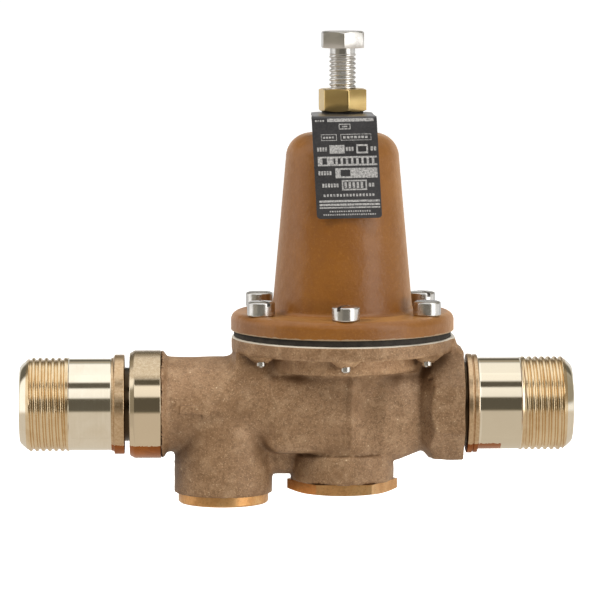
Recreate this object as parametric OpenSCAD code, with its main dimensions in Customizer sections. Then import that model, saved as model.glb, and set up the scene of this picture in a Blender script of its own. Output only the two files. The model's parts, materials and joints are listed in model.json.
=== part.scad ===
// Pressure reducing valve with a union inlet, a built-in strainer and a spring cage
// whose adjusting bolt sets the outlet pressure.
//
// Millimetres. +X is the direction of flow and +Z points up along the adjusting bolt.
// The origin is the centre of the inlet end face, on the pipe's axis.

/* [Pipe line] */
// From the inlet end face to the valve's upright axis
inlet_length = 112; // [110:0.5:120]
// From the valve's upright axis to the outlet end face
outlet_length = 79.8; // [78:0.1:90]
// Crest diameter of the two pipe threads
pipe_thread_d = 32.52; // [32.2:0.01:33.3]
// Length of the inlet's pipe thread
inlet_thread_length = 13.9; // [12:0.1:18]
// Length of the outlet's pipe thread
outlet_thread_length = 15; // [12:0.1:18]
// Diameter of the plain barrels behind the threads
barrel_d = 31.9; // [31:0.1:32]
// Diameter of the waterway
waterway_d = 20.8; // [18:0.1:21]
// Diameter of the round union nut
union_nut_d = 37.5; // [36.8:0.1:40]
// Width across the flats of the octagonal outlet boss
outlet_boss_af = 37.7; // [36:0.1:42]

/* [Body casting] */
// Outside diameter of the inlet neck
inlet_neck_d = 33; // [32:0.1:34]
// Outside diameter of the outlet neck
outlet_neck_d = 31.8; // [31:0.1:33]
// Diameter of the body's flange
body_flange_d = 77; // [76.6:0.1:80]
// Height of the flange's top face above the pipe's axis
flange_top_z = 24; // [23:0.1:26]
// Thickness of the body's flange
body_flange_t = 5; // [4:0.1:5.2]
// Diameter of the drum under the flange
drum_d = 56; // [54:0.1:57]
// Diameter of the strainer boss
strainer_boss_d = 34.1; // [33.5:0.1:35]
// Distance between the strainer's axis and the valve's axis
strainer_offset = 41.4; // [40:0.1:43]
// Depth of the strainer boss's face below the pipe's axis
strainer_depth = 30.7; // [30:0.1:33]
// Diameter of the centre boss
centre_boss_d = 35.7; // [35:0.1:37]
// Depth of the centre boss's face below the pipe's axis
centre_depth = 26.3; // [26:0.1:28]

/* [Plugs] */
// Diameter of the strainer plug's rim
strainer_plug_d = 31.4; // [30:0.1:33]
// Width across the flats of the bottom plug
bottom_plug_af = 33.3; // [32:0.1:36]
// Thickness of the bottom plug's hexagon
bottom_plug_t = 3.9; // [3.2:0.1:6]

/* [Spring cage] */
// Diameter of the cage's flange
cage_flange_d = 77.4; // [76.6:0.1:80]
// Thickness of the cage's flange
cage_flange_t = 6.3; // [5:0.1:7]
// Diameter of the bell where it meets the flange
bell_base_d = 48.8; // [48.6:0.1:50]
// Diameter of the bell below its rounded shoulder
bell_top_d = 39.2; // [39.2:0.1:42]
// Height of the bell's flat top above the pipe's axis
bell_top_z = 94.4; // [94:0.1:96]
// Radius of the bell's shoulder
shoulder_r = 8.5; // [6:0.1:9]
// Wall thickness of the bell
bell_wall = 2.8; // [2.4:0.1:3]
// Diameter of the circle through the cage screws
screw_circle_d = 65.8; // [65:0.1:66.5]
// Number of cage screws
screw_count = 6; // [4:1:8]

/* [Adjusting bolt] */
// Diameter of the adjusting bolt
bolt_d = 9.525; // [9:0.005:9.6]
// Length of the bolt under its head
bolt_length = 50.8; // [50:0.1:51]
// Width across the flats of the bolt's head
hex_af = 14.29; // [13.5:0.01:16]
// Width across the flats of the lock nut
lock_nut_af = 15; // [14:0.1:16]
// Height of the lock nut
lock_nut_h = 7.8; // [6:0.1:8]

/* [Nameplate] */
// Width of the nameplate
plate_w = 22.2; // [16:0.1:23]
// Height of the nameplate's face
plate_h = 34.8; // [25:0.1:36]
// Tilt of the nameplate's top edge, in degrees
plate_tilt = 1.1; // [0:0.1:2]
// Further lean of the nameplate's sides, in degrees
plate_skew = 2.1; // [0:0.1:3]
// How far the nameplate's middle lies from the bolt's axis, towards the inlet
plate_offset = 0.3; // [0:0.1:0.5]

/* [Valve trim] */
// Diameter of the seat's orifice
orifice_d = 13; // [10:0.1:14]
// Lift of the valve disc from fully open to closed
stem_travel = 3; // [2:0.1:3]
// Diameter of the stem
stem_d = 5; // [4:0.1:5.5]
// Diameter of the range spring, measured to the middle of its wire
spring_d = 27; // [25:0.1:28]
// Diameter of the spring's wire
spring_wire_d = 4; // [3:0.1:4.4]
// Number of turns in the spring
spring_turns = 6.5; // [5:0.5:7]

/* [Hidden] */

// Sides of a round thing
fine = 96;
// Sides of a small round thing
small = 48;
// Radial clearance of a screw, stem or spud in its hole
clear = 0.05;
// How far a cutting shape runs past the face that it cuts
past = 1;

casting_colour = [0.60, 0.48, 0.36];
paint_colour = [0.72, 0.40, 0.13];
brass_colour = [0.85, 0.76, 0.55];
plug_colour = [0.70, 0.46, 0.22];
steel_colour = [0.72, 0.73, 0.74];
spring_colour = [0.45, 0.46, 0.48];
rubber_colour = [0.12, 0.12, 0.13];
plate_colour = [0.08, 0.08, 0.09];

// Stations along the pipe, from the inlet end face
x_valve = inlet_length;
x_strainer = x_valve - strainer_offset;
x_end = x_valve + outlet_length;
end_chamfer = 2.9;
end_chamfer_depth = 2.6;
x_inlet_barrel = end_chamfer + inlet_thread_length;
x_nut = x_valve - 73.9;
x_nut_end = x_valve - 63;
x_inlet_ring = x_nut - 6.1;
x_inlet_neck = x_nut - 1.1;
nut_lip = 2.5;
x_tail_flange = x_nut + nut_lip;
tail_flange_t = 2;
gasket_t = 1.6;
x_gasket = x_tail_flange + tail_flange_t;
x_spud = x_gasket + gasket_t;
x_outlet_boss = x_valve + 28.5;
x_outlet_face = x_valve + 41.8;
x_outlet_socket = x_valve + 30;
x_outlet_ring = x_outlet_face + 0.9;
x_outlet_ring_end = x_outlet_ring + 4.7;
x_outlet_thread = x_end - end_chamfer - outlet_thread_length - 0.2;

waterway_r = waterway_d / 2;
thread_r = pipe_thread_d / 2;
barrel_r = barrel_d / 2;
spud_r = 15.9;
socket_r = 14.5;
tail_ring_r = 17.3;
tail_neck_r = 12.8;

// Heights from the pipe's axis
drum_bottom_z = 12.8;
flange_under_z = flange_top_z - body_flange_t;
diaphragm_t = 2.2;
cage_z = flange_top_z + diaphragm_t;
cage_flange_z = cage_z + cage_flange_t;
neck_z = bell_top_z + 6.2;
plate_t = 0.7;
washer_z = neck_z + plate_t;
lock_nut_z = washer_z + 0.6;
head_z = 123.7;
head_h = 5.8;
bolt_tip_z = head_z - bolt_length;

// Passages inside the casting
passage_z = -17.5;
passage_r = 5;
well_r = 12.5;
well_top_z = -9;
chamber_r = 13;
partition_z = -12;
partition_t = 4;
upper_chamber_r = 12.5;
// Length of outlet waterway that lies inside the upper chamber
waterway_overlap = 3;
upper_chamber_z = 10;
diaphragm_chamber_r = 24.5;
diaphragm_floor_z = 16;
plug_seal_t = 0.8;

// Valve trim
seat_r = 9;
seat_flange_r = 11.5;
seat_flange_t = 1.2;
seat_seal_t = 0.4;
seat_lip_z = partition_z - seat_seal_t - seat_flange_t - 0.6;
disc_top_z = seat_lip_z - stem_travel - clear;
disc_t = 1.6;
holder_t = 1.5;
disc_nut_h = 1.6;
holder_z = disc_top_z - disc_t - holder_t;
guide_top_z = holder_z - disc_nut_h - 0.35;
guide_floor_z = -centre_depth - bottom_plug_t + 1.3;
stem_bottom_z = guide_floor_z + 0.4;
stem_r = stem_d / 2;
lower_plate_t = 2.4;
lower_plate_z = cage_z;
spring_z = lower_plate_z + lower_plate_t;
upper_disc_t = 3;
upper_disc_z = bolt_tip_z - upper_disc_t;
hub_h = 1.5;
hub_r = spring_d / 2 - spring_wire_d / 2 - 0.5;
stem_nut_h = 4;
stem_top_z = spring_z + hub_h + stem_nut_h + 1;

// Cage screws
screw_r = 2.4;
screw_head_r = 4.8;
screw_head_h = 5.2;
screw_tip_z = 15;
screw_boss_z = 16.6;

// ---- Shapes that repeat ----

// Solid of revolution about the pipe's axis. Each point is [station, radius].
module turned_x(points) {
    rotate([0, 90, 0])
        rotate_extrude($fn = fine)
            polygon([for (p = points) [p[1], p[0]]]);
}

// Solid of revolution about an upright axis. Each point is [radius, height].
module turned_z(points, sides = fine) {
    rotate_extrude($fn = sides)
        polygon(points);
}

// Cylinder along the pipe from one station to another
module rod_x(from, to, r) {
    translate([from, 0, 0])
        rotate([0, 90, 0])
            cylinder(h = to - from, r = r, $fn = fine);
}

// Upright cylinder from one height to another
module rod_z(from, to, r, sides = fine) {
    translate([0, 0, from])
        cylinder(h = to - from, r = r, $fn = sides);
}

// Flat washer along the pipe
module ring_x(from, to, r_out, r_in) {
    difference() {
        rod_x(from, to, r_out);
        rod_x(from - past, to + past, r_in);
    }
}

// Flat washer on an upright axis
module ring_z(from, to, r_out, r_in, sides = fine) {
    difference() {
        rod_z(from, to, r_out, sides);
        rod_z(from - past, to + past, r_in, sides);
    }
}

// Upright hexagonal prism with its top corners turned off to a height of cut
module hexagon(from, to, af, corner_angle, cut = 0.6) {
    corner_r = af / 2 / cos(30);
    flat_r = af / 2 * 0.98;
    intersection() {
        translate([0, 0, from])
            rotate(corner_angle)
                cylinder(h = to - from, r = corner_r, $fn = 6);
        turned_z([[0, from], [corner_r + 0.01, from], [corner_r + 0.01, to - cut],
            [flat_r, to], [0, to]], small);
    }
}

// Repeats its children at each cage screw, the first one facing -Y
module at_screws() {
    for (i = [0 : screw_count - 1])
        rotate(i * 360 / screw_count - 90)
            translate([screw_circle_d / 2, 0, 0])
                children();
}

// ---- Body casting ----

module inlet_neck() {
    neck_r = inlet_neck_d / 2;
    shoulder = union_nut_d / 2 - 0.15;
    turned_x([[x_spud, 0], [x_spud, spud_r - 0.5], [x_spud + 0.5, spud_r], [x_nut_end, spud_r],
        [x_nut_end, shoulder], [x_nut_end + 0.6, shoulder], [x_nut_end + 2.1, neck_r],
        [x_valve, neck_r], [x_valve, 0]]);
}

module strainer_boss() {
    r = strainer_boss_d / 2;
    turned_z([[0, -strainer_depth], [r - 0.8, -strainer_depth], [r, -strainer_depth + 0.8],
        [r, -10], [r - 2.6, -2], [0, -2]]);
}

module centre_boss() {
    r = centre_boss_d / 2;
    turned_z([[0, -centre_depth], [r - 0.4, -centre_depth], [r, -centre_depth + 0.4],
        [r, drum_bottom_z + 1], [0, drum_bottom_z + 1]]);
}

module drum_and_flange() {
    flange_r = body_flange_d / 2;
    turned_z([[0, drum_bottom_z], [drum_d / 2 - 1, drum_bottom_z],
        [drum_d / 2, drum_bottom_z + 1], [drum_d / 2, flange_under_z],
        [flange_r - 0.6, flange_under_z], [flange_r, flange_under_z + 0.6],
        [flange_r, flange_top_z], [0, flange_top_z]]);
}

// Wall that joins the inlet neck to the underside of the flange
module inlet_saddle() {
    saddle_w = 25;
    translate([-body_flange_d / 2 + 1.5, -saddle_w / 2, 0])
        cube([body_flange_d / 2, saddle_w, flange_under_z + 0.5]);
}

// Sloping rib between the rim of the flange and the outlet boss
module outlet_gusset() {
    gusset_w = 16;
    rim = body_flange_d / 2 - 0.3;
    face = x_outlet_face - x_valve;
    rotate([90, 0, 0])
        translate([0, 0, -gusset_w / 2])
            linear_extrude(height = gusset_w)
                polygon([[20, 8], [20, flange_top_z], [rim, flange_top_z], [face, 16.4],
                    [face, 8]]);
}

module outlet_boss() {
    corner_r = outlet_boss_af / 2 / cos(22.5);
    neck_r = outlet_neck_d / 2;
    flare_r = neck_r + 5;
    x_flare = x_valve + 14;
    x_neck = x_valve + 27;
    turned_x([[x_valve, 0], [x_valve, flare_r], [x_flare, flare_r], [x_neck, neck_r],
        [x_outlet_boss + past, neck_r], [x_outlet_boss + past, 0]]);
    intersection() {
        translate([x_outlet_boss - 1, 0, 0])
            rotate([0, 90, 0])
                rotate(22.5)
                    cylinder(h = x_outlet_face - x_outlet_boss + 1, r = corner_r, $fn = 8);
        turned_x([[x_outlet_boss - 1, 0], [x_outlet_boss - 1, neck_r],
            [x_outlet_boss + 3.5, corner_r + 0.1], [x_outlet_face - 0.6, corner_r + 0.1],
            [x_outlet_face, corner_r - 0.8], [x_outlet_face, 0]]);
    }
}

module screw_bosses() {
    at_screws()
        turned_z([[0, screw_boss_z], [screw_r + 0.4, screw_boss_z], [4.4, flange_under_z],
            [4.4, flange_under_z + 0.5], [0, flange_under_z + 0.5]], small);
}

// Waterway from the strainer's well to the chamber under the seat, with its wall
module passage(r) {
    rod_x(x_strainer, x_valve, r);
}

// Raised arrow on the front of the inlet neck that shows the direction of flow
module flow_arrow() {
    raised = 0.7;
    head_l = 5;
    head_w = 3.5;
    tail_w = 1.6;
    length = 13;
    x_tip = x_valve - 43.6;
    intersection() {
        translate([x_tip, 0, 0])
            rotate([90, 0, 0])
                linear_extrude(height = inlet_neck_d)
                    polygon([[0, 0], [-head_l, head_w], [-head_l, tail_w], [-length, tail_w],
                        [-length, -tail_w], [-head_l, -tail_w], [-head_l, -head_w]]);
        rod_x(x_tip - length - past, x_tip + past, inlet_neck_d / 2 + raised);
    }
}

module casting_outside() {
    inlet_neck();
    outlet_boss();
    flow_arrow();
    translate([0, 0, passage_z])
        passage(passage_r + 2.5);
    translate([x_strainer, 0, 0])
        strainer_boss();
    translate([x_valve, 0, 0]) {
        centre_boss();
        drum_and_flange();
        inlet_saddle();
        outlet_gusset();
        screw_bosses();
    }
}

module casting_inside() {
    // Inlet waterway
    rod_x(x_spud - past, x_strainer + 8, waterway_r);
    // Outlet waterway and the socket for the tailpiece
    rod_x(x_valve + upper_chamber_r - waterway_overlap, x_outlet_socket + past, waterway_r);
    rod_x(x_outlet_socket, x_outlet_face + past, socket_r);
    // From the strainer to the chamber under the seat
    translate([0, 0, passage_z])
        passage(passage_r);
    // Strainer's well, with a recess for the plug's gasket
    translate([x_strainer, 0, 0]) {
        rod_z(well_top_z - past, 0, 8.5);
        rod_z(-strainer_depth - past, well_top_z, well_r);
        rod_z(-strainer_depth - past, -strainer_depth + plug_seal_t, well_r + 1.8);
    }
    translate([x_valve, 0, 0]) {
        // Chamber under the seat, with a recess for the plug's gasket
        rod_z(-centre_depth - past, partition_z, chamber_r);
        rod_z(-centre_depth - past, -centre_depth + plug_seal_t, chamber_r + 1.8);
        // Hole for the seat, chamber above it, and the stem's way up
        rod_z(partition_z - past, partition_z + partition_t + past, seat_r + clear);
        rod_z(partition_z + partition_t, upper_chamber_z, upper_chamber_r);
        rod_z(upper_chamber_z - past, diaphragm_floor_z + past, 4.5, small);
        // Diaphragm's chamber
        rod_z(diaphragm_floor_z, flange_top_z + past, diaphragm_chamber_r);
        // Holes for the cage screws
        at_screws()
            rod_z(screw_boss_z - past, flange_top_z + past, screw_r + clear, small);
    }
}

module valve_body() {
    color(casting_colour)
        difference() {
            casting_outside();
            casting_inside();
        }
}

// ---- Pipe connections ----

module inlet_tailpiece() {
    chamfer_r = thread_r - 0.6;
    color(brass_colour)
        difference() {
            turned_x([[0, 0], [0, chamfer_r - end_chamfer_depth], [end_chamfer, chamfer_r],
                [end_chamfer, thread_r], [x_inlet_barrel, thread_r], [x_inlet_barrel, barrel_r],
                [x_inlet_ring, barrel_r], [x_inlet_ring, tail_ring_r],
                [x_inlet_neck, tail_ring_r], [x_inlet_neck, tail_neck_r],
                [x_tail_flange, tail_neck_r], [x_tail_flange, spud_r - 0.3],
                [x_gasket, spud_r - 0.3], [x_gasket, 0]]);
            rod_x(-past, x_gasket + past, waterway_r);
        }
}

module inlet_union_nut() {
    r = union_nut_d / 2;
    color(brass_colour)
        difference() {
            turned_x([[x_nut, 0], [x_nut, r - 1], [x_nut + 1.7, r], [x_nut_end - 0.2, r],
                [x_nut_end, r - 0.2], [x_nut_end, 0]]);
            rod_x(x_nut - past, x_tail_flange + past, tail_neck_r + 0.3);
            rod_x(x_tail_flange, x_nut_end + past, spud_r + clear);
        }
}

module inlet_gasket() {
    color(rubber_colour)
        ring_x(x_gasket, x_spud, spud_r - 0.5, waterway_r);
}

module outlet_tailpiece() {
    chamfer_r = thread_r - 0.6;
    x_tip = x_outlet_socket + 1.2;
    groove = 0.8;
    x_groove = x_outlet_ring_end - 1.6;
    color(brass_colour)
        difference() {
            turned_x([[x_tip, 0], [x_tip, socket_r - clear], [x_outlet_ring, socket_r - clear],
                [x_outlet_ring, tail_ring_r], [x_groove, tail_ring_r],
                [x_groove + 0.2, tail_ring_r - groove], [x_outlet_ring_end, tail_ring_r - groove],
                [x_outlet_ring_end, barrel_r], [x_outlet_thread, barrel_r],
                [x_outlet_thread, thread_r], [x_end - end_chamfer, thread_r],
                [x_end - end_chamfer, chamfer_r], [x_end, chamfer_r - end_chamfer_depth],
                [x_end, 0]]);
            rod_x(x_tip - past, x_end + past, waterway_r);
        }
}

module outlet_seal() {
    color(rubber_colour)
        ring_x(x_outlet_socket, x_outlet_socket + 1.2, socket_r - 0.2, waterway_r);
}

// ---- Strainer ----

module strainer_plug() {
    thread_top = -strainer_depth + 4.5;
    rim_z = -strainer_depth - 3.5;
    rim_r = strainer_plug_d / 2;
    color(plug_colour)
        translate([x_strainer, 0, 0])
            difference() {
                turned_z([[0, rim_z], [rim_r - 0.5, rim_z], [rim_r, rim_z + 0.5],
                    [rim_r, -strainer_depth], [well_r - clear, -strainer_depth],
                    [well_r - clear, thread_top], [9.7, thread_top], [9.7, thread_top - 1.5],
                    [0, thread_top - 1.5]]);
                // Hexagonal socket for the key
                translate([0, 0, rim_z - past])
                    cylinder(h = past + 4, r = 7.3, $fn = 6);
            }
}

module strainer_plug_seal() {
    color(rubber_colour)
        translate([x_strainer, 0, 0])
            ring_z(-strainer_depth, -strainer_depth + plug_seal_t, well_r + 1.7, well_r);
}

// One layer of the strainer's tube. Where open is true, slots part it into upright strips.
module screen_layer(open, r, sheet, turn) {
    slots = 16;
    slot_w = 1.4;
    difference() {
        circle(r, $fn = fine);
        circle(r - sheet, $fn = fine);
        if (open)
            for (i = [0 : slots - 1])
                rotate((i + turn) * 360 / slots)
                    translate([r / 2, -slot_w / 2])
                        square([r, slot_w]);
    }
}

module strainer_screen() {
    screen_r = 10.5;
    sheet = 0.5;
    bottom = -strainer_depth + 4.5;
    rows = 4;
    pitch = (well_top_z - bottom) / rows;
    band = 1;
    color(steel_colour)
        translate([x_strainer, 0, bottom])
            for (row = [0 : rows - 1]) {
                translate([0, 0, row * pitch])
                    linear_extrude(height = row < rows - 1 ? band : pitch)
                        screen_layer(false, screen_r, sheet, 0);
                if (row < rows - 1)
                    translate([0, 0, row * pitch + band])
                        linear_extrude(height = pitch - band)
                            screen_layer(true, screen_r, sheet, 0.5);
            }
}

// ---- Seat, valve disc and bottom plug ----

module seat_ring() {
    flange_z = partition_z - seat_seal_t;
    color(plug_colour)
        translate([x_valve, 0, 0])
            difference() {
                turned_z([[0, seat_lip_z], [orifice_d / 2 + 0.7, seat_lip_z],
                    [orifice_d / 2 + 1.3, flange_z - seat_flange_t],
                    [seat_flange_r, flange_z - seat_flange_t], [seat_flange_r, flange_z],
                    [seat_r, flange_z], [seat_r, partition_z + partition_t],
                    [0, partition_z + partition_t]]);
                rod_z(seat_lip_z - past, partition_z + partition_t + past, orifice_d / 2);
            }
}

module seat_seal() {
    color(rubber_colour)
        translate([x_valve, 0, 0])
            ring_z(partition_z - seat_seal_t, partition_z, seat_flange_r - 0.1,
                seat_r + 2 * clear);
}

module disc_holder() {
    cup_r = 9.2;
    color(plug_colour)
        translate([x_valve, 0, 0])
            difference() {
                rod_z(holder_z, disc_top_z - 0.4, cup_r);
                rod_z(holder_z + holder_t, disc_top_z + past, cup_r - 1.1);
                rod_z(holder_z - past, disc_top_z, stem_r + clear, small);
            }
}

module valve_disc() {
    color(rubber_colour)
        translate([x_valve, 0, 0])
            ring_z(disc_top_z - disc_t, disc_top_z, 8.05, stem_r + clear);
}

module disc_nut() {
    color(steel_colour)
        translate([x_valve, 0, 0])
            difference() {
                hexagon(holder_z - disc_nut_h, holder_z, 9.5, 10);
                rod_z(holder_z - disc_nut_h - past, holder_z + past, stem_r + clear, small);
            }
}

module stem() {
    collar_r = stem_r + 1.2;
    collar_t = 1.2;
    top_collar_z = flange_top_z - 1.8;
    color(steel_colour)
        translate([x_valve, 0, 0])
            turned_z([[0, stem_bottom_z], [stem_r - 0.4, stem_bottom_z],
                [stem_r, stem_bottom_z + 0.4], [stem_r, disc_top_z], [collar_r, disc_top_z],
                [collar_r, disc_top_z + collar_t], [stem_r, disc_top_z + collar_t],
                [stem_r, top_collar_z - 2], [collar_r, top_collar_z - 2],
                [collar_r, top_collar_z], [stem_r, top_collar_z], [stem_r, stem_top_z - 0.4],
                [stem_r - 0.4, stem_top_z], [0, stem_top_z]], small);
}

module bottom_plug() {
    thread_top = -centre_depth + 4.4;
    hex_z = -centre_depth - bottom_plug_t;
    color(plug_colour)
        translate([x_valve, 0, 0])
            difference() {
                union() {
                    mirror([0, 0, 1])
                        hexagon(centre_depth, -hex_z, bottom_plug_af, 0);
                    turned_z([[0, -centre_depth - 0.5], [chamber_r - clear, -centre_depth - 0.5],
                        [chamber_r - clear, thread_top], [10.5, thread_top],
                        [10.5, -centre_depth + 1.5], [5, -centre_depth + 1.5],
                        [5, guide_top_z], [0, guide_top_z]]);
                }
                // Guide for the lower end of the stem
                rod_z(guide_floor_z, thread_top + past, stem_r + clear, small);
            }
}

module bottom_plug_seal() {
    color(rubber_colour)
        translate([x_valve, 0, 0])
            ring_z(-centre_depth, -centre_depth + plug_seal_t, chamber_r + 1.7, chamber_r);
}

// ---- Diaphragm and range spring ----

module diaphragm() {
    rim_r = body_flange_d / 2 - 0.8;
    color(rubber_colour)
        translate([x_valve, 0, 0])
            difference() {
                rod_z(flange_top_z, cage_z, rim_r);
                rod_z(flange_top_z - past, cage_z + past, stem_r + clear, small);
                at_screws()
                    rod_z(flange_top_z - past, cage_z + past, screw_r + clear, small);
            }
}

module diaphragm_washer() {
    color(plug_colour)
        translate([x_valve, 0, 0])
            ring_z(flange_top_z - 1.8, flange_top_z, 14, stem_r + clear);
}

module lower_spring_plate() {
    plate_r = 21;
    color(steel_colour)
        translate([x_valve, 0, 0])
            difference() {
                turned_z([[0, lower_plate_z], [plate_r, lower_plate_z], [plate_r, spring_z],
                    [hub_r, spring_z], [hub_r - 0.5, spring_z + hub_h], [0, spring_z + hub_h]]);
                rod_z(lower_plate_z - past, spring_z + hub_h + past, stem_r + clear, small);
            }
}

module stem_nut() {
    nut_z = spring_z + hub_h;
    color(steel_colour)
        translate([x_valve, 0, 0])
            difference() {
                hexagon(nut_z, nut_z + stem_nut_h, 10, 25);
                rod_z(nut_z - past, nut_z + stem_nut_h + past, stem_r + clear, small);
            }
}

// Point on the wire's surface: ring i along the coil, corner k round the wire
function coil_point(i, k, steps, sides) =
    let (turn = i / steps,
        angle = 360 * spring_turns * turn,
        wire_r = spring_wire_d / 2,
        low = spring_z + wire_r + 0.05,
        high = upper_disc_z - wire_r - 0.05,
        r = spring_d / 2 + wire_r * cos(360 * k / sides),
        z = low + (high - low) * turn + wire_r * sin(360 * k / sides))
    [r * cos(angle), r * sin(angle), z];

module range_spring() {
    steps = ceil(24 * spring_turns);
    sides = 10;
    points = [for (i = [0 : steps], k = [0 : sides - 1]) coil_point(i, k, steps, sides)];
    walls = [for (i = [0 : steps - 1], k = [0 : sides - 1])
        [i * sides + k, i * sides + (k + 1) % sides, (i + 1) * sides + (k + 1) % sides,
            (i + 1) * sides + k]];
    low_end = [[for (k = [sides - 1 : -1 : 0]) k]];
    high_end = [[for (k = [0 : sides - 1]) steps * sides + k]];
    color(spring_colour)
        translate([x_valve, 0, 0])
            polyhedron(points, concat(walls, low_end, high_end), convexity = 10);
}

module upper_spring_disc() {
    disc_r = 16.5;
    color(steel_colour)
        translate([x_valve, 0, 0])
            turned_z([[0, upper_disc_z - hub_h], [hub_r - 0.5, upper_disc_z - hub_h],
                [hub_r, upper_disc_z], [disc_r, upper_disc_z], [disc_r, bolt_tip_z],
                [0, bolt_tip_z]]);
}

// ---- Spring cage and what is on it ----

module cage_outline() {
    flange_r = cage_flange_d / 2;
    edge_r = 2.8;
    shoulder_x = bell_top_d / 2 - shoulder_r;
    shoulder_z = bell_top_z - shoulder_r;
    fillet_r = 1.6;
    // Flange with a rounded upper edge
    translate([0, cage_z])
        square([flange_r, cage_flange_t - edge_r]);
    translate([0, cage_z])
        square([flange_r - edge_r, cage_flange_t]);
    translate([flange_r - edge_r, cage_flange_z - edge_r])
        circle(edge_r, $fn = small);
    // Fillet at the foot of the bell
    difference() {
        translate([0, cage_flange_z - 0.5])
            square([bell_base_d / 2 + fillet_r, fillet_r + 0.5]);
        translate([bell_base_d / 2 + fillet_r, cage_flange_z + fillet_r])
            circle(fillet_r, $fn = small);
    }
    // Bell with a round shoulder
    polygon([[0, cage_z], [bell_base_d / 2, cage_flange_z], [bell_top_d / 2, shoulder_z],
        [0, shoulder_z]]);
    translate([shoulder_x, shoulder_z])
        circle(shoulder_r, $fn = fine);
    translate([0, shoulder_z - shoulder_r])
        square([shoulder_x, 2 * shoulder_r]);
    // Neck under the lock nut
    square([7.5, neck_z]);
}

module spring_cage() {
    foot_r = bell_base_d / 2 - bell_wall;
    head_r = bell_top_d / 2 - bell_wall;
    roof_z = bell_top_z - shoulder_r + 1.6;
    color(paint_colour)
        translate([x_valve, 0, 0])
            difference() {
                intersection() {
                    rotate_extrude($fn = fine)
                        cage_outline();
                    rod_z(cage_z, neck_z, cage_flange_d);
                }
                // Spring's chamber
                turned_z([[0, cage_z - past], [foot_r + 1.8, cage_z - past],
                    [foot_r + 1.8, cage_z + 3.4], [foot_r, cage_flange_z],
                    [head_r, bell_top_z - shoulder_r - 1.9], [head_r - 3.4, roof_z], [0, roof_z]]);
                // Thread for the adjusting bolt
                rod_z(roof_z - past, neck_z + past, bolt_d / 2 + clear);
                // Holes for the cage screws
                at_screws()
                    rod_z(cage_z - past, cage_flange_z + past, screw_r + clear, small);
            }
}

module cage_screws() {
    slot_w = 1.3;
    slot_depth = 1.7;
    slot_start = -33;
    slot_turn = 61;
    top = cage_flange_z + screw_head_h;
    color(steel_colour)
        translate([x_valve, 0, 0])
            for (i = [0 : screw_count - 1])
                rotate(i * 360 / screw_count - 90)
                    translate([screw_circle_d / 2, 0, 0])
                        difference() {
                            turned_z([[0, screw_tip_z], [screw_r - 0.5, screw_tip_z],
                                [screw_r, screw_tip_z + 1.2], [screw_r, cage_flange_z],
                                [screw_head_r, cage_flange_z], [screw_head_r, top - 0.7],
                                [screw_head_r - 0.7, top], [0, top]], small);
                            rotate(slot_start + i * slot_turn)
                                translate([-screw_head_r - past, -slot_w / 2, top - slot_depth])
                                    cube([2 * screw_head_r + 2 * past, slot_w, slot_depth + past]);
                        }
}

module adjusting_bolt() {
    r = bolt_d / 2;
    shank_z = head_z - 2;
    color(steel_colour)
        translate([x_valve, 0, 0]) {
            turned_z([[0, bolt_tip_z], [r - 1, bolt_tip_z], [r, bolt_tip_z + 1], [r, shank_z],
                [r - 0.3, shank_z], [r - 0.3, head_z + 0.5], [0, head_z + 0.5]]);
            hexagon(head_z, head_z + head_h, hex_af, 32);
        }
}

module lock_nut() {
    color([0.80, 0.66, 0.33])
        translate([x_valve, 0, 0])
            difference() {
                hexagon(lock_nut_z, lock_nut_z + lock_nut_h, lock_nut_af, 42, cut = 0.3);
                rod_z(lock_nut_z - past, lock_nut_z + lock_nut_h + past, bolt_d / 2 + clear);
            }
}

module lock_nut_washer() {
    color(rubber_colour)
        translate([x_valve, 0, 0])
            ring_z(washer_z, lock_nut_z, hex_af / 2, bolt_d / 2 + clear);
}

// Flat tab round the bolt, folded down in front of the bell. The face is slightly skewed.
module nameplate() {
    face_y = -22.4;
    tab_back = 7;
    tab_inset = 0.5;
    half_w = plate_w / 2;
    shift = plate_h * tan(plate_skew);
    color(plate_colour)
        translate([x_valve, 0, 0]) {
            difference() {
                translate([-half_w - plate_offset + tab_inset, face_y, neck_z])
                    cube([plate_w - 2 * tab_inset, tab_back - face_y, plate_t]);
                rod_z(neck_z - past, washer_z + past, bolt_d / 2 + 0.3);
            }
            translate([-plate_offset, face_y + plate_t, washer_z])
                rotate([90, -plate_tilt, 0])
                    linear_extrude(height = plate_t)
                        polygon([[-half_w, 0], [half_w, 0], [half_w + shift, -plate_h],
                            [-half_w + shift, -plate_h]]);
        }
}

valve_body();
spring_cage();
cage_screws();
diaphragm();
adjusting_bolt();
lock_nut();
lock_nut_washer();
nameplate();
upper_spring_disc();
range_spring();
lower_spring_plate();
diaphragm_washer();
stem_nut();
stem();
disc_holder();
valve_disc();
disc_nut();
seat_ring();
seat_seal();
bottom_plug();
bottom_plug_seal();
strainer_plug();
strainer_plug_seal();
strainer_screen();
inlet_tailpiece();
inlet_union_nut();
inlet_gasket();
outlet_tailpiece();
outlet_seal();
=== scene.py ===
"""Looks of the pressure reducing valve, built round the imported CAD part.

Lengths in this script are millimetres until they reach Blender: +X runs along the pipe with the
flow, +Z up along the adjusting bolt, and the origin is the centre of the inlet end face.
"""

import json
import math

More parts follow.
